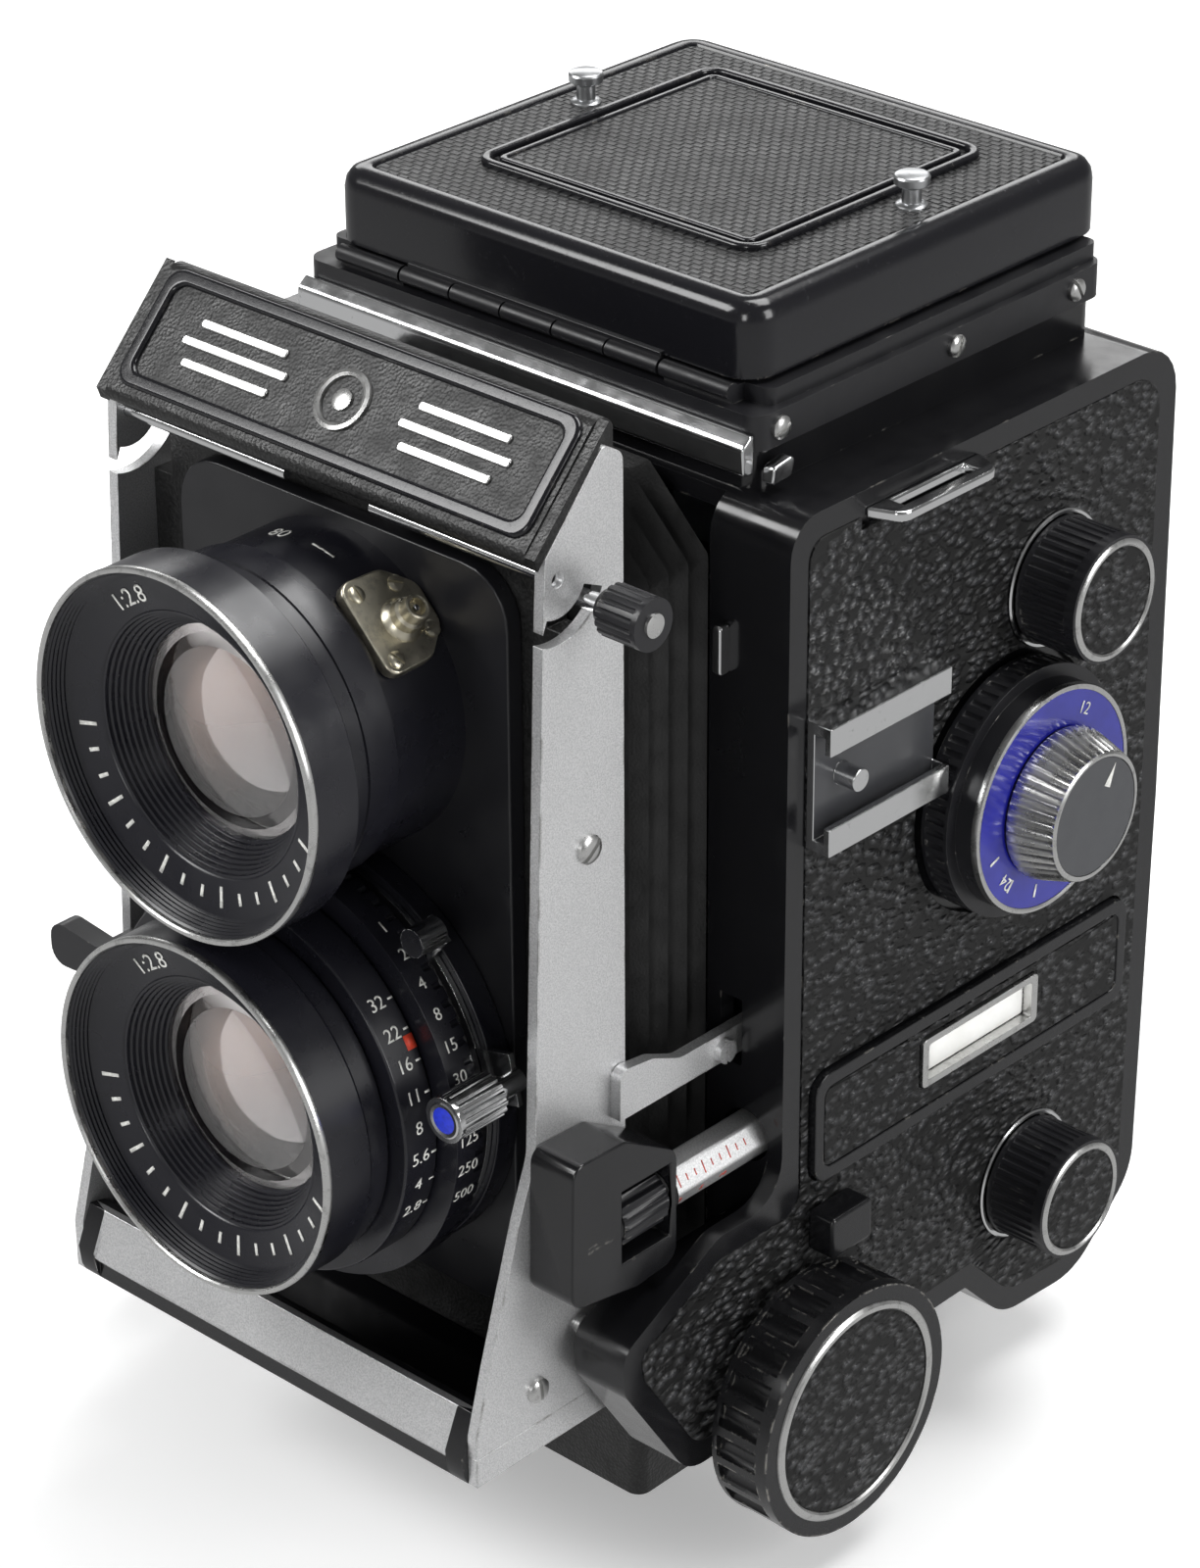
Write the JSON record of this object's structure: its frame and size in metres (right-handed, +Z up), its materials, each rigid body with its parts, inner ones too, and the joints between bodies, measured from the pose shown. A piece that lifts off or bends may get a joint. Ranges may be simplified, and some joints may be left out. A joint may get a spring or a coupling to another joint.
{
  "type": "twin lens reflex camera",
  "caption": "Roll-film twin lens reflex camera with a bellows-focused front standard, folding waist-level hood, hinged back and geared film crank.",
  "frame": {"origin": "mouth of the tripod socket, in the plane of the underside of the base", "axes": "+Z up, -Y towards the lenses, +X towards the side that carries the accessory shoe and film dials"},
  "size_m": [0.1226, 0.1341, 0.172],
  "materials": {
    "gloss_paint": "gloss black enamel on cast metal",
    "crinkle_paint": "fine crinkle black paint",
    "satin_black": "satin black anodised",
    "barrel_black": "semi-gloss black lens barrel",
    "hood_sheet": "matt black sheet metal",
    "leatherette": "pebbled black leatherette",
    "bellows_skin": "matt black pleated bellows",
    "chrome": "polished chrome",
    "satin_silver": "satin silver",
    "steel": "brushed steel",
    "brass": "aged pale brass",
    "blue_enamel": "blue enamel",
    "white_plate": "white glossy plate",
    "lens_glass": "coated optical glass",
    "mirror_silver": "front-silvered mirror"
  },
  "bodies": {
    "body": {"body_shell": "gloss_paint", "base_block": "crinkle_paint", "tripod_bush": "satin_silver", "side_leathers": "leatherette", "indicator_band": "gloss_paint", "window_plate": "white_plate", "accessory_shoe": "chrome", "strap_lugs": "chrome", "front_trim": "chrome", "mirror_glass": "mirror_silver", "mirror_holder": "satin_black", "film_gate": "satin_black", "hood_base": "gloss_paint", "focusing_screen": "lens_glass", "hood_screws": "chrome", "bellows": "bellows_skin"},
    "standard": {"side_plates": "satin_silver", "front_panel": "crinkle_paint", "front_sill": "satin_silver", "rack_rails": "steel", "top_cover": "crinkle_paint", "standard_screws": "chrome", "parallax_arm": "satin_silver", "scale_housing": "gloss_paint", "lens_board": "satin_black", "viewing_barrel": "barrel_black", "viewing_glass": "lens_glass", "sync_socket": "brass", "shutter_housing": "barrel_black", "taking_barrel": "barrel_black", "taking_glass": "lens_glass"},
    "speed_dial": {"speed_ring": "barrel_black"},
    "aperture_dial": {"aperture_ring": "barrel_black"},
    "cocking": {"cocking_lever": "chrome"},
    "sync_switch": {"sync_lever": "chrome"},
    "release": {"release_lever": "satin_black"},
    "bail": {"lens_bail": "chrome"},
    "scale": {"scale_rod": "satin_silver"},
    "focus_drive": {"focus_shaft": "steel", "focus_knob_right": "satin_black", "focus_knob_left": "satin_black"},
    "upper_knob": {"spool_knob_upper": "satin_black"},
    "lower_knob": {"spool_knob_lower": "satin_black"},
    "dial": {"dial_ring": "blue_enamel"},
    "lock": {"lock_knob": "chrome"},
    "focus_catch": {"focus_lock": "satin_black"},
    "winder": {"crank": "chrome"},
    "winder_handle": {"crank_handle": "satin_black"},
    "takeup": {"takeup_gear": "brass", "takeup_spool": "satin_black"},
    "supply": {"supply_spool": "satin_black"},
    "roller_low": {"film_roller_lower": "steel"},
    "roller_high": {"film_roller_upper": "steel"},
    "door": {"back_door": "satin_black"},
    "latch": {"back_latch": "chrome"},
    "lid": {"hood_lid": "gloss_paint", "magnifier": "hood_sheet"},
    "wall_right": {"hood_wall_right": "hood_sheet"},
    "wall_left": {"hood_wall_left": "hood_sheet"},
    "wall_rear": {"hood_wall_rear": "hood_sheet"}
  },
  "joints": [
    {"name": "focus_travel", "type": "slide", "parent": "body", "child": "standard", "axis": [0, -1, 0], "range_m": [-0.015, 0.04], "deforming": ["bellows"]},
    {"name": "focus_turn", "type": "hinge", "parent": "body", "child": "focus_drive", "pos_m": [0, -0.0193, 0.0239], "axis": [1, 0, 0], "range_deg": [-240, 600]},
    {"name": "speed_turn", "type": "hinge", "parent": "standard", "child": "speed_dial", "pos_m": [0, -0.058, 0.0707], "axis": [0, 1, 0], "range_deg": [-90, 60]},
    {"name": "aperture_turn", "type": "hinge", "parent": "standard", "child": "aperture_dial", "pos_m": [0, -0.064, 0.0707], "axis": [0, 1, 0], "range_deg": [-20, 50]},
    {"name": "cocking_swing", "type": "hinge", "parent": "standard", "child": "cocking", "pos_m": [0, -0.0535, 0.0707], "axis": [0, 1, 0], "range_deg": [0, 50], "stiffness_Nm_per_rad": 0.05},
    {"name": "sync_swing", "type": "hinge", "parent": "standard", "child": "sync_switch", "pos_m": [0, -0.0553, 0.0707], "axis": [0, 1, 0], "range_deg": [-10, 10]},
    {"name": "release_swing", "type": "hinge", "parent": "standard", "child": "release", "pos_m": [0, -0.0544, 0.0707], "axis": [0, -1, 0], "range_deg": [0, 8], "stiffness_Nm_per_rad": 0.1},
    {"name": "bail_swing", "type": "hinge", "parent": "standard", "child": "bail", "pos_m": [0, -0.0504, 0.1462], "axis": [-1, 0, 0], "range_deg": [0, 45]},
    {"name": "scale_turn", "type": "hinge", "parent": "standard", "child": "scale", "pos_m": [0.0409, -0.043, 0.059], "axis": [0, 1, 0], "continuous": true},
    {"name": "upper_knob_pull", "type": "slide", "parent": "body", "child": "upper_knob", "axis": [1, 0, 0], "range_m": [0, 0.008]},
    {"name": "lower_knob_pull", "type": "slide", "parent": "body", "child": "lower_knob", "axis": [1, 0, 0], "range_m": [0, 0.008]},
    {"name": "dial_turn", "type": "hinge", "parent": "body", "child": "dial", "pos_m": [0.0515, 0.0215, 0.0953], "axis": [1, 0, 0], "range_deg": [-40, 40]},
    {"name": "lock_turn", "type": "hinge", "parent": "body", "child": "lock", "pos_m": [0.058, 0.0215, 0.0953], "axis": [1, 0, 0], "range_deg": [0, 90]},
    {"name": "focus_lock_turn", "type": "hinge", "parent": "body", "child": "focus_catch", "pos_m": [0.049, -0.0123, 0.0452], "axis": [1, 0, 0], "range_deg": [-12, 12]},
    {"name": "crank_turn", "type": "hinge", "parent": "body", "child": "winder", "pos_m": [-0.045, 0.022, 0.095], "axis": [1, 0, 0], "continuous": true},
    {"name": "crank_handle_turn", "type": "hinge", "parent": "winder", "child": "winder_handle", "pos_m": [-0.0575, 0.022, 0.065], "axis": [1, 0, 0], "continuous": true},
    {"name": "takeup_turn", "type": "hinge", "parent": "body", "child": "takeup", "pos_m": [0, 0.03, 0.121], "axis": [1, 0, 0], "continuous": true},
    {"name": "supply_turn", "type": "hinge", "parent": "body", "child": "supply", "pos_m": [0, 0.0288, 0.0322], "axis": [1, 0, 0], "continuous": true},
    {"name": "roller_low_turn", "type": "hinge", "parent": "body", "child": "roller_low", "pos_m": [0, 0.0412, 0.0402], "axis": [1, 0, 0], "continuous": true},
    {"name": "roller_high_turn", "type": "hinge", "parent": "body", "child": "roller_high", "pos_m": [0, 0.0412, 0.1012], "axis": [1, 0, 0], "continuous": true},
    {"name": "door_open", "type": "hinge", "parent": "body", "child": "door", "pos_m": [0, 0.0522, 0.0215], "axis": [-1, 0, 0], "range_deg": [0, 95]},
    {"name": "latch_slide", "type": "slide", "parent": "door", "child": "latch", "axis": [1, 0, 0], "range_m": [0, 0.003], "stiffness_N_per_m": 100},
    {"name": "hood_open", "type": "hinge", "parent": "body", "child": "lid", "pos_m": [0, -0.0156, 0.1572], "axis": [1, 0, 0], "range_deg": [0, 90]},
    {"name": "wall_right_rise", "type": "hinge", "parent": "body", "child": "wall_right", "pos_m": [0.033, 0.018, 0.1586], "axis": [0, 1, 0], "range_deg": [0, 90]},
    {"name": "wall_left_rise", "type": "hinge", "parent": "body", "child": "wall_left", "pos_m": [-0.033, 0.018, 0.1586], "axis": [0, -1, 0], "range_deg": [0, 90]},
    {"name": "wall_rear_rise", "type": "hinge", "parent": "body", "child": "wall_rear", "pos_m": [0, 0.0485, 0.1628], "axis": [-1, 0, 0], "range_deg": [0, 90]}
  ],
  "couplings": [
    {"joint": "focus_turn", "follows": "focus_travel", "rad_per_m": 250},
    {"joint": "takeup_turn", "follows": "crank_turn", "ratio": -1.2667},
    {"joint": "wall_right_rise", "follows": "hood_open", "ratio": 1},
    {"joint": "wall_left_rise", "follows": "hood_open", "ratio": 1},
    {"joint": "wall_rear_rise", "follows": "hood_open", "ratio": 1}
  ]
}
